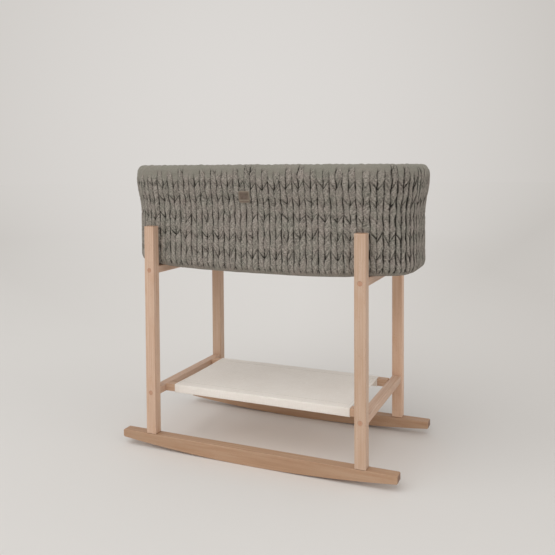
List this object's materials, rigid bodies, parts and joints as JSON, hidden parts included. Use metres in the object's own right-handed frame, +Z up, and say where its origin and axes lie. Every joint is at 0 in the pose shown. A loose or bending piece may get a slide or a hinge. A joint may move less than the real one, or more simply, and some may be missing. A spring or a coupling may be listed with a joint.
{
  "type": "baby cradle",
  "caption": "Rocking baby cradle: a beech stand on two curved rockers with a canvas shelf, holding a padded, smocked fabric basket with a mattress.",
  "frame": {"origin": "on the floor, midway between the two rockers and midway along them", "axes": "+X along the rockers to the viewer's right, +Y from front to back, +Z up; the label is on the front (-Y) side"},
  "size_m": [0.91, 0.4124, 0.8434],
  "materials": {
    "beech": "fine-grained oiled beech, satin",
    "plug": "darker cross-grain wooden plug",
    "steel": "zinc-plated furniture fastener",
    "canvas": "off-white plain-weave cotton canvas",
    "smocked_fabric": "olive taupe woven fabric, smocked into vertical folds",
    "foam": "open-cell upholstery foam",
    "fibreboard": "bare fibreboard",
    "cotton": "undyed fine cotton",
    "label": "small blank brown patch, stitched round the edge"
  },
  "bodies": {
    "stand": {"rocker_front": "beech", "rocker_back": "beech", "post_front_left": "beech", "post_front_right": "beech", "post_back_left": "beech", "post_back_right": "beech", "lower_rail_left": "beech", "lower_rail_right": "beech", "upper_rail_left": "beech", "upper_rail_right": "beech", "shelf_rail_front": "beech", "shelf_rail_back": "beech", "shelf_canvas": "canvas", "bolt_lower_front_left": "steel", "barrel_nut_lower_front_left": "steel", "plug_lower_front_left": "plug", "bolt_lower_front_right": "steel", "barrel_nut_lower_front_right": "steel", "plug_lower_front_right": "plug", "bolt_lower_back_left": "steel", "barrel_nut_lower_back_left": "steel", "plug_lower_back_left": "plug", "bolt_lower_back_right": "steel", "barrel_nut_lower_back_right": "steel", "plug_lower_back_right": "plug", "bolt_upper_front_left": "steel", "barrel_nut_upper_front_left": "steel", "plug_upper_front_left": "plug", "bolt_upper_front_right": "steel", "barrel_nut_upper_front_right": "steel", "plug_upper_front_right": "plug", "bolt_upper_back_left": "steel", "barrel_nut_upper_back_left": "steel", "plug_upper_back_left": "plug", "bolt_upper_back_right": "steel", "barrel_nut_upper_back_right": "steel", "plug_upper_back_right": "plug", "foot_screw_front_left": "steel", "foot_dowel_front_left": "beech", "foot_screw_front_right": "steel", "foot_dowel_front_right": "beech", "foot_screw_back_left": "steel", "foot_dowel_back_left": "beech", "foot_screw_back_right": "steel", "foot_dowel_back_right": "beech", "shelf_dowel_front_left": "beech", "shelf_dowel_front_right": "beech", "shelf_dowel_back_left": "beech", "shelf_dowel_back_right": "beech"},
    "basket": {"basket_cover": "smocked_fabric", "wall_padding": "foam", "rim_padding": "foam", "wall_panel": "fibreboard", "base_board": "fibreboard", "basket_lining": "cotton", "label_patch": "label"},
    "mattress": {"mattress_core": "foam", "mattress_cover": "cotton"}
  },
  "joints": [
    {"name": "basket_lift", "type": "slide", "parent": "stand", "child": "basket", "axis": [0, 0, 1], "range_m": [0, 0.13]},
    {"name": "mattress_lift", "type": "slide", "parent": "basket", "child": "mattress", "axis": [0, 0, 1], "range_m": [0, 0.3]}
  ]
}
